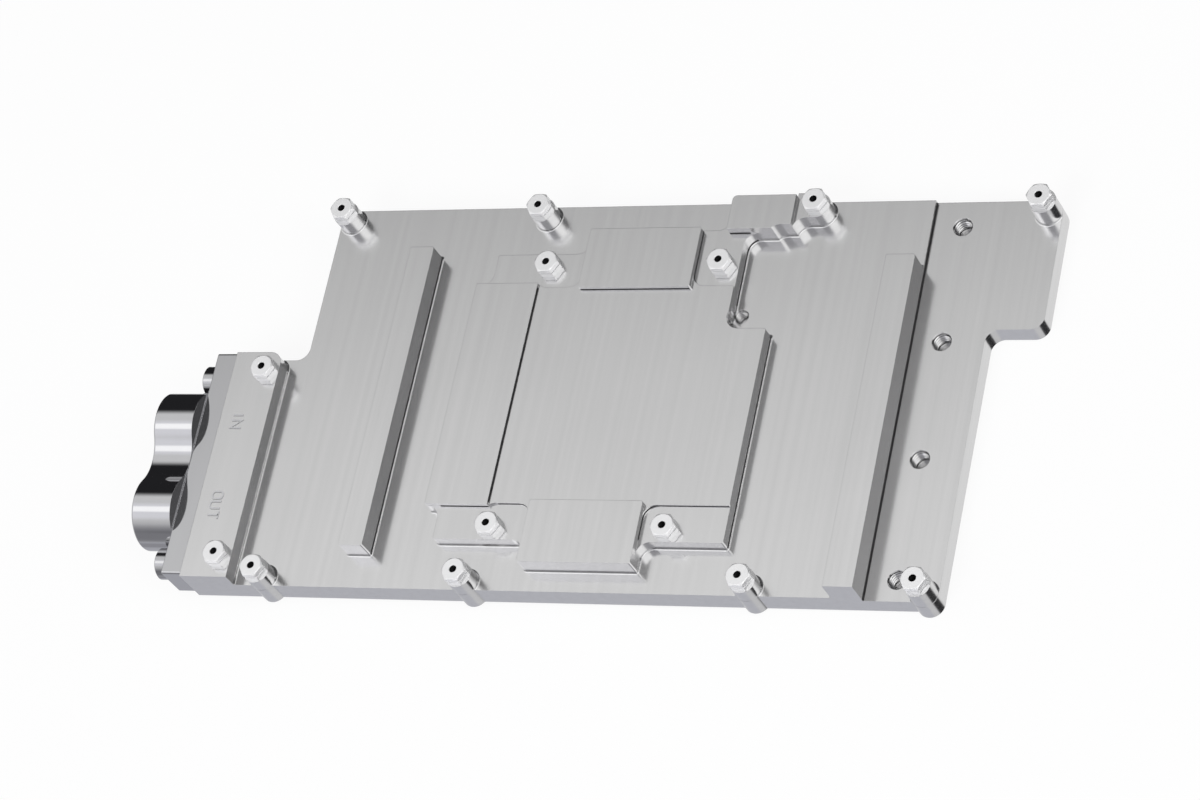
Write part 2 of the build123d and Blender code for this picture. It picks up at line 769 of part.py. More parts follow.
# Standoffs: outer ones on the bosses and the strip, four on the platform
standoffs = [(f"standoff_outer_{i + 1}", x, y, boss_z) for i, (x, y) in enumerate(outer_places)]
standoffs += [(f"standoff_core_{i + 1}", x, y, platform_z) for i, (x, y) in enumerate(core_places)]
standoffs += [(f"standoff_strip_{i + 1}", x, y, boss_z) for i, (x, y) in enumerate(strip_places)]
for name, x, y, z in standoffs:
    top = z + hex_height
    with BuildPart() as standoff:
        with BuildSketch(Plane.XY.offset(z)):
            with Locations((x, y)):
                RegularPolygon(hex_flats / 2, 6, major_radius=False, rotation=hex_turn)
        extrude(amount=hex_height)

        # Turned profile that the hexagon is cut to, with a groove round it
        with BuildSketch(Plane.XZ.offset(-y)):
            with BuildLine():
                Polyline(
                    (x, z),
                    (x + hex_corner_r - hex_bottom_chamfer, z),
                    (x + hex_corner_r, z + hex_bottom_chamfer),
                    (x + hex_corner_r, top - groove_top - groove_width),
                    (x + hex_flats / 2 - groove_depth, top - groove_top - groove_width),
                    (x + hex_flats / 2 - groove_depth, top - groove_top),
                    (x + hex_corner_r, top - groove_top),
                    (x + hex_corner_r, top - hex_top_chamfer * hex_chamfer_slope),
                    (x + hex_flats / 2 - hex_top_land, top),
                    (x, top),
                    close=True,
                )
            make_face()
        revolve(axis=Axis((x, y, 0), (0, 0, 1)), mode=Mode.INTERSECT)

        # Stud below, and the threaded hole from the top
        with BuildSketch(Plane.XY.offset(z)):
            with Locations((x, y)):
                Circle(stud_r)
        extrude(amount=-stud_length)
        chamfer(faces().sort_by(Axis.Z)[0].edges(), stud_chamfer)
        with Locations((x, y, top)):
            CounterSinkHole(
                thread_hole_r,
                thread_hole_r + thread_hole_chamfer,
                depth=thread_hole_depth,
            )
    standoff.part.label = name
    export_step(standoff.part, f"parts/{name}.step")
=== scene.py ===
import bpy
import math
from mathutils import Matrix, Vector


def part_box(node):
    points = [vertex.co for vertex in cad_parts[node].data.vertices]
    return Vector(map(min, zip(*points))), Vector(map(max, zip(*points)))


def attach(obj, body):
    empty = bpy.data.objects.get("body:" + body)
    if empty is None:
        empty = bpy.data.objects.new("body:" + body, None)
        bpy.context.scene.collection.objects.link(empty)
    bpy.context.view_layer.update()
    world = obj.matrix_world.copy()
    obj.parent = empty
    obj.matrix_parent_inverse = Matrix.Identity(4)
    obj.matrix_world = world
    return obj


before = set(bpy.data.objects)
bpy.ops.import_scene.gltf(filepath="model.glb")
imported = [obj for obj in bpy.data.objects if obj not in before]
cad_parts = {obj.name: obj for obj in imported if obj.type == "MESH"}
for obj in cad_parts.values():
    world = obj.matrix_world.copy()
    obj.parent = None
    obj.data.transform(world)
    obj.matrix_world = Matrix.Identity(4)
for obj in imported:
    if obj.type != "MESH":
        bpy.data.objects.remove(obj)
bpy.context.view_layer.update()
mm = 0.001
upAxis = Vector((0, 0, 1))
sideAxis = Vector((1, 0, 0))
plateLow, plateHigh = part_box("cold_plate")
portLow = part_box("port_terminal")[0]
standoffNames = sorted(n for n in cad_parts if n.startswith("standoff_"))

# Heights of the plate's machined faces and the radius of the cutter that went round them, in mm
plateLevels = {"endFloor": -4.8, "floor": -3.7, "platform": -0.6, "diePad": 0.0, "strip": 0.4}
cutterR = 3.0
print("stage: frame loaded")


# Small helpers for shader trees
def newGroup(name, inputs, outputs):
    tree = bpy.data.node_groups.new(name, "ShaderNodeTree")
    for label, value in inputs.items():
        socket = tree.interface.new_socket(label, in_out="INPUT", socket_type="NodeSocketFloat")
        socket.default_value = value
    for label in outputs:
        tree.interface.new_socket(label, in_out="OUTPUT", socket_type="NodeSocketFloat")
    return tree, tree.nodes.new("NodeGroupInput"), tree.nodes.new("NodeGroupOutput")


def addNode(tree, kind, values=None, **settings):
    node = tree.nodes.new(kind)
    for key, value in settings.items():
        setattr(node, key, value)
    for key, value in (values or {}).items():
        node.inputs[key].default_value = value
    return node


def emptyTree(owner):
    owner.use_nodes = True
    owner.node_tree.nodes.clear()
    return owner.node_tree


# Brushed grain: long thin scratches along one direction of the part
grainPlan = {
    "fine": {"Scale": 1.0, "Detail": 3.0, "Roughness": 0.6},
    "wide": {"Scale": 0.25, "Detail": 2.0, "Roughness": 0.5},
    "rise": 0.02,
}


def makeBrushedGrain():
    tree, start, end = newGroup(
        "brushedGrain", {"Across": 3000.0, "Along": 60.0, "Depth": 0.5}, ["Height", "Streak"],
    )
    place = addNode(tree, "ShaderNodeTexCoord")
    scale = addNode(tree, "ShaderNodeCombineXYZ")
    stretched = addNode(tree, "ShaderNodeVectorMath", operation="MULTIPLY")
    fine = addNode(tree, "ShaderNodeTexNoise", grainPlan["fine"])
    wide = addNode(tree, "ShaderNodeTexNoise", grainPlan["wide"])
    deep = addNode(tree, "ShaderNodeMath", operation="MULTIPLY")
    link = tree.links.new
    link(start.outputs["Across"], scale.inputs["X"])
    link(start.outputs["Along"], scale.inputs["Y"])
    link(start.outputs["Across"], scale.inputs["Z"])
    link(place.outputs["Object"], stretched.inputs[0])
    link(scale.outputs["Vector"], stretched.inputs[1])
    link(stretched.outputs["Vector"], fine.inputs["Vector"])
    link(stretched.outputs["Vector"], wide.inputs["Vector"])
    link(fine.outputs["Fac"], deep.inputs[0])
    link(start.outputs["Depth"], deep.inputs[1])
    link(deep.outputs["Value"], end.inputs["Height"])
    link(wide.outputs["Fac"], end.inputs["Streak"])
    return tree


# Handling marks: a slow cloud and small specks, both from 0 to 1
handlingPlan = {
    "cloud": {"Detail": 4.0, "Roughness": 0.55},
    "speck": {"Detail": 1.0, "Roughness": 0.4},
    "speckCut": {"From Min": 0.66, "From Max": 0.74},
    "cloudRange": {"From Min": 0.3, "From Max": 0.7},  # what of the cloud spans a finish's roughness
}


def makeHandling():
    tree, start, end = newGroup(
        "handling", {"Cloud Scale": 25.0, "Speck Scale": 900.0}, ["Cloud", "Specks"],
    )
    place = addNode(tree, "ShaderNodeTexCoord")
    cloud = addNode(tree, "ShaderNodeTexNoise", handlingPlan["cloud"])
    speck = addNode(tree, "ShaderNodeTexNoise", handlingPlan["speck"])
    cut = addNode(tree, "ShaderNodeMapRange", handlingPlan["speckCut"])
    link = tree.links.new
    link(place.outputs["Object"], cloud.inputs["Vector"])
    link(place.outputs["Object"], speck.inputs["Vector"])
    link(start.outputs["Cloud Scale"], cloud.inputs["Scale"])
    link(start.outputs["Speck Scale"], speck.inputs["Scale"])
    link(speck.outputs["Fac"], cut.inputs["Value"])
    link(cloud.outputs["Fac"], end.inputs["Cloud"])
    link(cut.outputs["Result"], end.inputs["Specks"])
    return tree


grainGroup = makeBrushedGrain()
handlingGroup = makeHandling()


# What every finish has: two close tones, a roughness that the handling cloud varies, and a bump
def startFinish(name, look, metallic, handling, bumpForm):
    mat = bpy.data.materials.new(name)
    tree = emptyTree(mat)
    link = tree.links.new
    out = addNode(tree, "ShaderNodeOutputMaterial")
    shader = addNode(tree, "ShaderNodeBsdfPrincipled", {"Metallic": metallic})
    hand = addNode(tree, "ShaderNodeGroup", handling, node_tree=handlingGroup)
    tone = addNode(
        tree, "ShaderNodeMix", {"A": (*look["dark"], 1), "B": (*look["light"], 1)}, data_type="RGBA",
    )
    rough = addNode(tree, "ShaderNodeMapRange", handlingPlan["cloudRange"])
    rough.inputs["To Min"].default_value = look["smooth"]
    rough.inputs["To Max"].default_value = look["rough"]
    bump = addNode(tree, "ShaderNodeBump", bumpForm)
    link(hand.outputs["Cloud"], rough.inputs["Value"])
    link(tone.outputs["Result"], shader.inputs["Base Color"])
    link(rough.outputs["Result"], shader.inputs["Roughness"])
    link(bump.outputs["Normal"], shader.inputs["Normal"])
    link(shader.outputs["BSDF"], out.inputs["Surface"])
    return mat, hand, tone, bump


# Plated or turned metal: grain in its tone and bump, and a small edge radius where the look has one
metalPlan = {"handling": {"Cloud Scale": 25.0}, "edgeSamples": 6}


def makeMetal(name, look):
    bumpForm = {"Strength": look["bump"], "Distance": grainPlan["rise"] * mm}
    metallic = look.get("metallic", 1.0)
    mat, hand, tone, bump = startFinish(name, look, metallic, metalPlan["handling"], bumpForm)
    tree = mat.node_tree
    grainForm = {"Across": look["across"], "Along": look["along"], "Depth": look["depth"]}
    grain = addNode(tree, "ShaderNodeGroup", grainForm, node_tree=grainGroup)
    tree.links.new(grain.outputs["Streak"], tone.inputs["Factor"])
    tree.links.new(grain.outputs["Height"], bump.inputs["Height"])
    if "edge" in look:
        edge = addNode(
            tree, "ShaderNodeBevel", {"Radius": look["edge"] * mm}, samples=metalPlan["edgeSamples"],
        )
        tree.links.new(edge.outputs["Normal"], bump.inputs["Normal"])
    return mat


# Rubber and moulded plastic: matt, with a fine moulded skin
mouldedPlan = {
    "handling": {"Cloud Scale": 60.0, "Speck Scale": 1500.0},
    "bumpForm": {"Strength": 0.3, "Distance": 0.03 * mm},
}


def makeMoulded(name, look):
    mat, hand, tone, bump = startFinish(
        name, look, 0.0, mouldedPlan["handling"], mouldedPlan["bumpForm"],
    )
    mat.node_tree.links.new(hand.outputs["Cloud"], tone.inputs["Factor"])
    mat.node_tree.links.new(hand.outputs["Specks"], bump.inputs["Height"])
    return mat


evenGrain = {"across": 1500, "along": 1500}
plateLook = {
    "dark": (0.765, 0.763, 0.765), "light": (0.85, 0.848, 0.85), "smooth": 0.17, "rough": 0.21,
    "across": 2600, "along": 7, "depth": 0.5, "bump": 0.1, "edge": 0.1,
}
coverLook = {
    "dark": (0.67, 0.665, 0.67), "light": (0.75, 0.745, 0.75), "smooth": 0.2, "rough": 0.3,
    "across": 2200, "along": 60, "depth": 0.6, "bump": 0.2, "edge": 0.15,
}
terminalLook = {
    "dark": (0.58, 0.58, 0.593), "light": (0.62, 0.62, 0.633), "smooth": 0.06, "rough": 0.09,
    "across": 900, "along": 200, "depth": 0.3, "bump": 0.03, "edge": 0.1,
}
standoffLook = {
    "dark": (0.9, 0.9, 0.905), "light": (0.95, 0.95, 0.955), "smooth": 0.22, "rough": 0.3,
    "metallic": 0.5, **evenGrain, "depth": 0.4, "bump": 0.06, "edge": 0.06,
}
screwLook = {
    "dark": (0.5, 0.5, 0.51), "light": (0.58, 0.58, 0.59), "smooth": 0.08, "rough": 0.14,
    **evenGrain, "depth": 0.4, "bump": 0.05, "edge": 0.1,
}
letterLook = {
    "dark": (0.84, 0.84, 0.86), "light": (0.9, 0.9, 0.92), "smooth": 0.3, "rough": 0.4,
    **evenGrain, "depth": 0.3, "bump": 0.1,
}
# Darker tone for the shifted copy of the port marks: painted shade along the letters' lip
letterPaintedShadeLook = {
    "dark": (0.4, 0.4, 0.41), "light": (0.46, 0.46, 0.47), "smooth": 0.35, "rough": 0.45,
    **evenGrain, "depth": 0.3, "bump": 0.1,
}
# Near-black metal for the feet of the steps: painted shade in the cutter rounds
footPaintedShadeLook = {
    "dark": (0.05, 0.05, 0.051), "light": (0.08, 0.08, 0.082), "smooth": 0.25, "rough": 0.35,
    **evenGrain, "depth": 0.3, "bump": 0.05,
}
# Near-black metal for the bore sleeves and the standoffs' threads: painted shade in the bores
borePaintedShadeLook = {
    "dark": (0.02, 0.02, 0.021), "light": (0.035, 0.035, 0.036), "smooth": 0.45, "rough": 0.6,
    **evenGrain, "depth": 0.3, "bump": 0.1,
}
sealLook = {"dark": (0.018, 0.018, 0.019), "light": (0.03, 0.03, 0.03), "smooth": 0.5, "rough": 0.65}
insertLook = {"dark": (0.03, 0.03, 0.032), "light": (0.05, 0.05, 0.052), "smooth": 0.35, "rough": 0.5}

plateNickel = makeMetal("plateNickel", plateLook)
coverNickel = makeMetal("coverNickel", coverLook)
terminalPolish = makeMetal("terminalPolish", terminalLook)
standoffNickel = makeMetal("standoffNickel", standoffLook)
screwSteel = makeMetal("screwSteel", screwLook)
letterFace = makeMetal("letterFace", letterLook)
letterPaintedShade = makeMetal("letterPaintedShade", letterPaintedShadeLook)
footPaintedShade = makeMetal("footPaintedShade", footPaintedShadeLook)
borePaintedShade = makeMetal("borePaintedShade", borePaintedShadeLook)
sealRubber = makeMoulded("sealRubber", sealLook)
insertPlastic = makeMoulded("insertPlastic", insertLook)

nodeFinish = {
    "cold_plate": plateNickel,
    "back_cover": coverNickel,
    "port_terminal": terminalPolish,
    "terminal_screw_upper": screwSteel,
    "terminal_screw_lower": screwSteel,
    "cover_screws": screwSteel,
    "port_seal_in": sealRubber,
    "port_seal_out": sealRubber,
    "cover_seal": sealRubber,
    "jet_plate": insertPlastic,
}
nodeFinish.update({name: standoffNickel for name in standoffNames})


def dressNodes():
    for name, finish in nodeFinish.items():
        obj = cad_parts[name]
        obj.data.materials.clear()
        obj.data.materials.append(finish)


dressNodes()
print("stage: finishes on", len(nodeFinish), "nodes")


def newPiece(name, verts, faces, finish):
    mesh = bpy.data.meshes.new(name)
    mesh.from_pydata(verts, [], faces)
    mesh.validate()
    obj = bpy.data.objects.new(name, mesh)
    bpy.context.scene.collection.objects.link(obj)
    mesh.materials.append(finish)
    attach(obj, "root")
    return obj


# Half widths of a thread's ridge at its root and its crest, as shares of the pitch
ridgeForm = {"flank": 0.32, "crest": 0.07}


# A thread's ridge winds down inside a bore from its mouth, and fades in and out over half a turn
def threadRidge(name, mouth, axis, sideways, thread, finish):
    boreR = thread["boreR"] * mm
    crestR = thread["crestR"] * mm
    pitch = thread["pitch"] * mm
    flank = pitch * ridgeForm["flank"]
    crest = pitch * ridgeForm["crest"]
    steps = thread["steps"]
    across = axis.cross(sideways)
    count = int((thread["depth"] - thread["start"]) / thread["pitch"] * steps)
    verts = []
    faces = []
    for i in range(count + 1):
        angle = 2 * math.pi * i / steps
        run = thread["start"] * mm + pitch * i / steps
        out = sideways * math.cos(angle) + across * math.sin(angle)
        fade = min(1, i / steps * 2, (count - i) / steps * 2)
        inner = boreR + (crestR - boreR) * fade
        for radius, shift in ((boreR, -flank), (inner, -crest), (inner, crest), (boreR, flank)):
            verts.append(mouth - axis * (run + shift) + out * radius)
    for i in range(count):
        for k in range(3):
            a = i * 4 + k
            faces.append((a, a + 4, a + 5, a + 1))
    newPiece(name, verts, faces, finish)


# A thin dark sleeve on the bore's wall, painted shade in the thread's root and the bore's depth, closed by
# a flat cone where tip isn't 0
def paintedShadeSleeve(name, mouth, shadeSleeve):
    steps = 32
    radius = shadeSleeve["r"] * mm
    verts = []
    faces = []
    for depth in (shadeSleeve["top"], shadeSleeve["bottom"]):
        for i in range(steps):
            angle = 2 * math.pi * i / steps
            verts.append(mouth + Vector((radius * math.cos(angle), radius * math.sin(angle), -depth * mm)))
    if shadeSleeve["tip"]:
        verts.append(mouth - upAxis * (shadeSleeve["bottom"] + shadeSleeve["tip"]) * mm)
    for i in range(steps):
        j = (i + 1) % steps
        faces.append((i, i + steps, j + steps, j))
        if shadeSleeve["tip"]:
            faces.append((i + steps, 2 * steps, j + steps))
    newPiece(name, verts, faces, borePaintedShade)


tappedHoles = {
    "x": 72.0, "firstY": 42.5, "pitchY": 27.5, "count": 4,
    "thread": {"boreR": 1.98, "crestR": 1.66, "pitch": 0.7, "start": 0.5, "depth": 3.6, "steps": 40},
    "shadeSleeve": {"r": 1.985, "top": 0.35, "bottom": 3.7, "tip": 0.1},
}


def threadTappedHoles():
    for i in range(tappedHoles["count"]):
        y = tappedHoles["firstY"] - i * tappedHoles["pitchY"]
        mouth = Vector((tappedHoles["x"], y, plateLevels["endFloor"])) * mm
        threadRidge(
            f"end_thread_{i + 1}", mouth, upAxis, sideAxis, tappedHoles["thread"],
            plateNickel,
        )
        paintedShadeSleeve(f"end_lining_{i + 1}", mouth, tappedHoles["shadeSleeve"])


smallHole = {
    "x": 25.9, "y": 20.7,
    "thread": {"boreR": 1.48, "crestR": 1.23, "pitch": 0.5, "start": 0.4, "depth": 2.7, "steps": 36},
    "shadeSleeve": {"r": 1.485, "top": 0.3, "bottom": 2.8, "tip": 0},
}


def threadSmallHole():
    mouth = Vector((smallHole["x"], smallHole["y"], plateLevels["floor"])) * mm
    threadRidge(
        "small_thread", mouth, upAxis, sideAxis, smallHole["thread"], plateNickel,
    )
    paintedShadeSleeve("small_lining", mouth, smallHole["shadeSleeve"])


standoffBore = {
    "thread": {"boreR": 0.78, "crestR": 0.66, "pitch": 0.4, "start": 0.4, "depth": 3.6, "steps": 24},
    "shadeSleeve": {"r": 0.785, "top": 0.1, "bottom": 4.1, "tip": 0.1},
}


# The standoffs' thread ridges and sleeves are near-black: painted shade in their bores
def threadStandoffs():
    for name in standoffNames:
        low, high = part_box(name)
        mouth = Vector(((low.x + high.x) / 2, (low.y + high.y) / 2, high.z))
        threadRidge(
            f"thread_{name}", mouth, upAxis, sideAxis, standoffBore["thread"],
            borePaintedShade,
        )
        paintedShadeSleeve(f"lining_{name}", mouth, standoffBore["shadeSleeve"])


portBores = {
    "places": {"in": -6.85, "out": -27.4}, "axisZ": -4.69,
    "thread": {"boreR": 6.58, "crestR": 5.75, "pitch": 1.337, "start": 1.4, "depth": 8.9, "steps": 64},
}


def threadPorts():
    for label, y in portBores["places"].items():
        mouth = Vector((portLow.x, y * mm, portBores["axisZ"] * mm))
        threadRidge(
            f"port_thread_{label}", mouth, -sideAxis, upAxis, portBores["thread"],
            terminalPolish,
        )


threadTappedHoles()
threadSmallHole()
threadStandoffs()
threadPorts()
print("stage: threads cut")


def arcPoints(cx, cy, radius, first, last):
    steps = 10
    turn = [math.radians(first + (last - first) * i / steps) for i in range(steps + 1)]
    return [(cx + radius * math.cos(t), cy + radius * math.sin(t)) for t in turn]


# Walls that face right, by their x, and walls that face the front, by their y
rightWalls = {
    "endStep": 65.3, "leftBar": -49.15, "island": 33.8, "neck": 24.4, "leftPad": -22.0, "rowPad": 14.45,
}
rowPadLeftX = -11.85
frontWalls = {"leftPad": -26.66, "diePad": -26.0, "rowPad": 25.6, "tabPad": 39.4}
diePadBackY = 26.3

# Cutter rounds at the feet of the steps, in a near-black finish that is painted shade: piece, level,
# height and path, with the wall on its left
footForm = {"segments": 12, "lift": 0.004, "slimness": 0.3}
stepFeet = [
    ("end_step_foot", "endFloor", 0.7,
     [(rightWalls["endStep"], -44.85), (rightWalls["endStep"], 48.4)]),
    ("left_bar_foot", "floor", 0.7,
     [(rightWalls["leftBar"], -37.1), (rightWalls["leftBar"], 35.9)]),
    ("island_side_foot", "floor", 0.7,
     [(rightWalls["island"], -34.2), (rightWalls["island"], 15.7)]),
    ("neck_side_foot", "floor", 0.7,
     [(rightWalls["neck"], 23.2)]
     + arcPoints(rightWalls["neck"] + cutterR, frontWalls["tabPad"] - cutterR, cutterR, 180, 110)),
    ("left_pad_inner_foot", "diePad", 0.56,
     [(rightWalls["leftPad"], -25.9), (rightWalls["leftPad"], 26.2)]),
    ("left_pad_front_foot", "platform", 0.35,
     [(-33.5, frontWalls["leftPad"]), (-22.1, frontWalls["leftPad"])]),
    ("die_pad_front_foot_left", "platform", 0.3,
     [(-20.0, frontWalls["diePad"])]
     + arcPoints(rowPadLeftX - cutterR, frontWalls["diePad"] - cutterR, cutterR, 90, 0)
     + [(rowPadLeftX, -34.0)]),
    ("die_pad_front_foot_right", "platform", 0.3,
     [(rightWalls["rowPad"], -34.0)]
     + arcPoints(rightWalls["rowPad"] + cutterR, frontWalls["diePad"] - cutterR, cutterR, 180, 90)
     + [(33.6, frontWalls["diePad"])]),
    ("row_pad_front_foot", "diePad", 0.35,
     [(-11.6, frontWalls["rowPad"]), (14.2, frontWalls["rowPad"])]),
    ("row_pad_side_foot", "platform", 0.3,
     [(24.0, diePadBackY)]
     + arcPoints(rightWalls["rowPad"] + cutterR, diePadBackY + cutterR, cutterR, 270, 180)
     + [(rightWalls["rowPad"], 39.9)]),
    ("tab_pad_front_foot", "platform", 0.4,
     [(20.7, frontWalls["tabPad"]), (25.5, frontWalls["tabPad"])]),
]


def makeFoot(name, level, height, path):
    segments = footForm["segments"]
    width = height * footForm["slimness"]
    verts = []
    for i, point in enumerate(path):
        here = Vector(point)
        before = Vector(path[max(0, i - 1)])
        after = Vector(path[min(len(path) - 1, i + 1)])
        run = (after - before).normalized()
        away = Vector((run.y, -run.x))
        for k in range(segments + 1):
            turn = math.pi / 2 * k / segments
            side = here + away * width * (1 - math.cos(turn))
            rise = plateLevels[level] + footForm["lift"] + height * (1 - math.sin(turn))
            verts.append(Vector((side.x, side.y, rise)) * mm)
    faces = []
    for i in range(len(path) - 1):
        for k in range(segments):
            a = i * (segments + 1) + k
            faces.append((a, a + 1, a + segments + 2, a + segments + 1))
    foot = newPiece(name, verts, faces, footPaintedShade)
    foot.data.polygons.foreach_set("use_smooth", [True] * len(foot.data.polygons))


for name, level, height, path in stepFeet:
    makeFoot(name, level, height, path)
print("stage: feet of the steps rounded")

# Port marks on the strip: single-line letters, a bright stroke over a darker copy shifted aside, painted
# shade that shows as a lip
portMarks = {
    "baselineX": -89.8, "capHeight": 3.0, "stroke": 0.42,
    "marks": [("in", "IN", -5.2, -8.8), ("out", "OUT", -24.1, -31.1)],
    "layers": [
        {"finish": letterPaintedShade, "lift": 0.012, "shift": (0.08, -0.13)},
        {"finish": letterFace, "lift": 0.024, "shift": (0, 0)},
    ],
}

# Letters in shares of their height: the width, then each stroke's points
letterForm = {"bowlWidth": 0.56, "bowlR": 0.24, "sharpest": 0.45}


def bowlCorner(right, top, first):
    radius = letterForm["bowlR"]
    cx = letterForm["bowlWidth"] - radius if right else radius
    cy = 1 - radius if top else radius
    return arcPoints(cx, cy, radius, first, first + 90)


cupStroke = bowlCorner(False, False, 180) + bowlCorner(True, False, 270)
capStroke = bowlCorner(True, True, 0) + bowlCorner(False, True, 90)
letterStrokes = {
    "I": (0.0, [[(0, 0), (0, 1)]]),
    "N": (0.62, [[(0, 0), (0, 1), (0.62, 0), (0.62, 1)]]),
    "T": (0.6, [[(0.3, 0), (0.3, 1)], [(0, 1), (0.6, 1)]]),
    "U": (letterForm["bowlWidth"], [[(0, 1)] + cupStroke + [(letterForm["bowlWidth"], 1)]]),
    "O": (letterForm["bowlWidth"], [cupStroke + capStroke + [(0, letterForm["bowlR"])]]),
}


# A flat ribbon along a stroke, mitred at its corners
def strokeRibbon(points, half):
    runs = [(Vector(b) - Vector(a)).normalized() for a, b in zip(points, points[1:])]
    verts = []
    for i, point in enumerate(points):
        before = runs[max(0, i - 1)]
        after = runs[min(i, len(runs) - 1)]
        run = (before + after).normalized()
        side = Vector((-run.y, run.x))
        miter = 1 / max(letterForm["sharpest"], side.dot(Vector((-before.y, before.x))))
        verts += [Vector(point) + side * half * miter, Vector(point) - side * half * miter]
    return verts, [(2 * i, 2 * i + 2, 2 * i + 3, 2 * i + 1) for i in range(len(runs))]


def placeMark(name, text, topY, bottomY):
    half = portMarks["stroke"] / portMarks["capHeight"] / 2
    height = portMarks["capHeight"] * mm
    widths = [letterStrokes[letter][0] for letter in text]
    room = (topY - bottomY) * mm - 2 * half * height
    gap = (room / height - sum(widths)) / (len(text) - 1)
    for number, layer in enumerate(portMarks["layers"], 1):
        baseX = (portMarks["baselineX"] + layer["shift"][0]) * mm
        baseY = (topY + layer["shift"][1]) * mm
        faceZ = (plateLevels["strip"] + layer["lift"]) * mm
        verts = []
        faces = []
        start = half
        for letter in text:
            width, strokes = letterStrokes[letter]
            for points in strokes:
                corners, quads = strokeRibbon(points, half)
                faces += [tuple(k + len(verts) for k in quad) for quad in quads]
                for corner in corners:
                    up = (half + corner.y * (1 - 2 * half)) * height
                    along = (start + corner.x) * height
                    verts.append(Vector((baseX + up, baseY - along, faceZ)))
            start += width + gap
        newPiece(f"port_mark_{name}_{number}", verts, faces, layer["finish"])


for name, text, topY, bottomY in portMarks["marks"]:
    placeMark(name, text, topY, bottomY)
print("stage: port marks placed")

# Floor, in metres: the block leans on its port body and on the far end of the plate
floorPlan = {
    "halfSize": 3.0, "heelX": -0.0976, "gap": 0.00005,
    "colour": (0.86, 0.86, 0.865, 1), "cameraShare": 0.9,
}
plainWhite = (1, 1, 1, 1)


def makeFloor():
    heelX = floorPlan["heelX"]
    half = floorPlan["halfSize"]
    rise = (plateLow.z - portLow.z) / (plateHigh.x - heelX)
    verts = []
    for x, y in ((-half, -half), (half, -half), (half, half), (-half, half)):
        verts.append((x, y, portLow.z - floorPlan["gap"] + (x - heelX) * rise))
    mesh = bpy.data.meshes.new("floor")
    mesh.from_pydata(verts, [], [(0, 1, 2, 3)])
    floor = bpy.data.objects.new("floor", mesh)
    bpy.context.scene.collection.objects.link(floor)
    mat = bpy.data.materials.new("paleFloor")
    tree = emptyTree(mat)
    out = addNode(tree, "ShaderNodeOutputMaterial")
    matt = addNode(tree, "ShaderNodeBsdfDiffuse", {"Color": floorPlan["colour"]})
    glow = addNode(tree, "ShaderNodeEmission", {"Color": plainWhite, "Strength": 1.0})
    path = addNode(tree, "ShaderNodeLightPath")
    share = addNode(tree, "ShaderNodeMath", {1: floorPlan["cameraShare"]}, operation="MULTIPLY")
    mix = addNode(tree, "ShaderNodeMixShader")
    link = tree.links.new
    link(path.outputs["Is Camera Ray"], share.inputs[0])
    link(share.outputs["Value"], mix.inputs["Fac"])
    link(matt.outputs["BSDF"], mix.inputs[1])
    link(glow.outputs["Emission"], mix.inputs[2])
    link(mix.outputs["Shader"], out.inputs["Surface"])
    mesh.materials.append(mat)
    floor.visible_glossy = False  # the metal mirrors the room's lower half in its place


makeFloor()

# Room: pale, with soft light and dark patches fixed to the part's own axes.
# A patch begins where the cosine to its middle is near, and is full where it is far.
roomPlan = {
    "base": (0.6, 0.6, 0.61),
    "patches": [
        {"toward": (-0.3, 0.0, 0.95), "colour": (0.84, 0.84, 0.84), "near": 0.5, "far": 0.8},
        {"toward": (-0.42, -0.3, 0.85), "colour": (1.0, 1.0, 1.04), "near": 0.9, "far": 0.97},
        {"toward": (-0.45, -0.2, 0.87), "colour": (1.5, 1.5, 1.5), "near": 0.985, "far": 0.995},
        {"toward": (-0.1, -0.65, 0.75), "colour": (0.36, 0.36, 0.38), "near": 0.908, "far": 0.937},
        {"toward": (0.57, -0.25, 0.8), "colour": (1.2, 1.2, 1.2), "near": 0.87, "far": 0.96},
        {"toward": (-0.3, -0.95, -0.1), "colour": (0.28, 0.28, 0.3), "near": 0.79, "far": 0.96},
        {"toward": (-0.25, -0.96, 0.1), "colour": (0.03, 0.03, 0.033), "near": 0.955, "far": 0.98},
        {"toward": (-0.3, 0.95, 0.1), "colour": (0.022, 0.022, 0.024), "near": 0.55, "far": 0.76},
        {"toward": (0.5, 0.8, 0.33), "colour": (0.08, 0.08, 0.082), "near": 0.66, "far": 0.86},
        {"toward": (0.88, 0.42, 0.2), "colour": (0.01, 0.01, 0.01), "near": 0.9, "far": 0.95},
        {"toward": (0.73, 0.40, 0.56), "colour": (1.9, 1.9, 1.9), "near": 0.988, "far": 0.996},
        {"toward": (0.3, 0.5, -0.81), "colour": (0.78, 0.78, 0.78), "near": 0.85, "far": 0.95},
        {"toward": (0.592, -0.052, -0.8), "colour": (0.03, 0.03, 0.032), "near": 0.93, "far": 0.965},
        {"toward": (-0.4, -0.42, -0.81), "colour": (0.505, 0.51, 0.55), "near": 0.85, "far": 0.93},
        {"toward": (-0.6, -0.5, -0.62), "colour": (0.38, 0.38, 0.41), "near": 0.973, "far": 0.99},
        {"toward": (-0.5, 0.5, -0.7), "colour": (1.1, 1.1, 1.1), "near": 0.94, "far": 0.98},
    ],
}


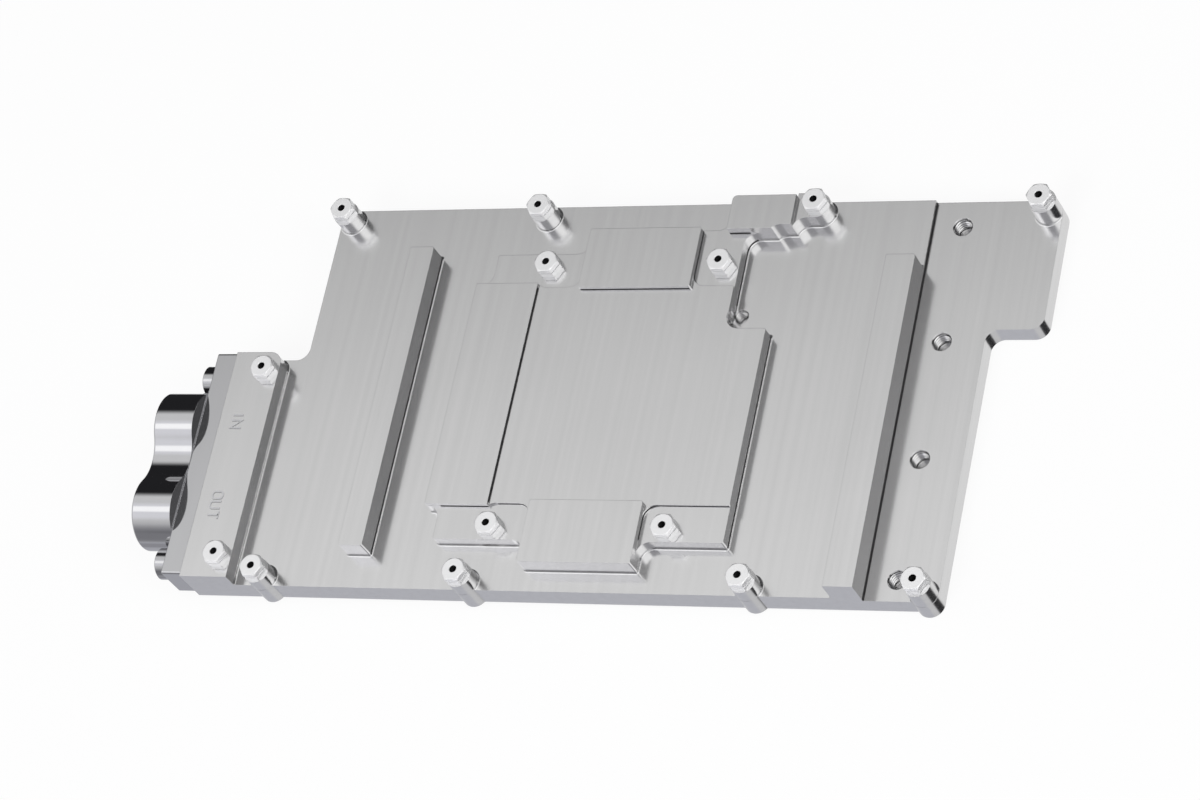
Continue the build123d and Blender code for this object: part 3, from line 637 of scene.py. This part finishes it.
# Lays one patch over the colour made so far
def addPatch(tree, place, patch, under):
    link = tree.links.new
    aim = Vector(patch["toward"]).normalized()
    dot = addNode(tree, "ShaderNodeVectorMath", {1: aim}, operation="DOT_PRODUCT")
    fade = addNode(
        tree, "ShaderNodeMapRange", {"From Min": patch["near"], "From Max": patch["far"]},
        interpolation_type="SMOOTHSTEP",
    )
    blend = addNode(
        tree, "ShaderNodeMix", {"A": (*roomPlan["base"], 1), "B": (*patch["colour"], 1)},
        data_type="RGBA",
    )
    link(place.outputs["Generated"], dot.inputs[0])
    link(dot.outputs["Value"], fade.inputs["Value"])
    link(fade.outputs["Result"], blend.inputs["Factor"])
    if under:
        link(under, blend.inputs["A"])
    return blend.outputs["Result"]


def makeRoom():
    world = bpy.data.worlds.new("room")
    bpy.context.scene.world = world
    tree = emptyTree(world)
    out = addNode(tree, "ShaderNodeOutputWorld")
    back = addNode(tree, "ShaderNodeBackground", {"Strength": 1.0})
    white = addNode(tree, "ShaderNodeBackground", {"Color": plainWhite, "Strength": 1.0})
    path = addNode(tree, "ShaderNodeLightPath")
    mix = addNode(tree, "ShaderNodeMixShader")
    place = addNode(tree, "ShaderNodeTexCoord")
    colour = None
    for patch in roomPlan["patches"]:
        colour = addPatch(tree, place, patch, colour)
    link = tree.links.new
    link(colour, back.inputs["Color"])
    link(path.outputs["Is Camera Ray"], mix.inputs["Fac"])
    link(back.outputs["Background"], mix.inputs[1])
    link(white.outputs["Background"], mix.inputs[2])
    link(mix.outputs["Shader"], out.inputs["Surface"])


makeRoom()

# Lamps, in metres, each aimed at the part's origin
lampPlan = [
    {"name": "keyLamp", "place": (-0.2, -1.0, 1.1), "size": 0.7, "watts": 9.0},
    {"name": "sideLamp", "place": (1.3, -0.3, 0.9), "size": 0.6, "watts": 6.0},
]


def hangLamps():
    for plan in lampPlan:
        data = bpy.data.lights.new(plan["name"], "AREA")
        data.size = plan["size"]
        data.energy = plan["watts"]
        lamp = bpy.data.objects.new(plan["name"], data)
        bpy.context.scene.collection.objects.link(lamp)
        lamp.location = plan["place"]
        lamp.rotation_euler = (-lamp.location).to_track_quat("-Z", "Y").to_euler()
        lamp.visible_glossy = False


hangLamps()
print("stage: floor, room and lamps")

# Camera at the photograph's own viewing angle, with its long lens
cameraPlan = {
    "place": (391.28, -390.80, 747.75), "degrees": (29.9066, 21.9367, 12.2126),
    "lens": 130.8, "sensor": 36.0, "clipEnd": 20,
}


def placeCamera():
    data = bpy.data.cameras.new("camera")
    data.lens = cameraPlan["lens"]
    data.sensor_width = cameraPlan["sensor"]
    data.clip_end = cameraPlan["clipEnd"]
    camera = bpy.data.objects.new("camera", data)
    bpy.context.scene.collection.objects.link(camera)
    camera.location = Vector(cameraPlan["place"]) * mm
    camera.rotation_euler = [math.radians(a) for a in cameraPlan["degrees"]]
    bpy.context.scene.camera = camera


placeCamera()
bpy.context.scene.view_settings.view_transform = "Standard"
print("stage: camera placed")
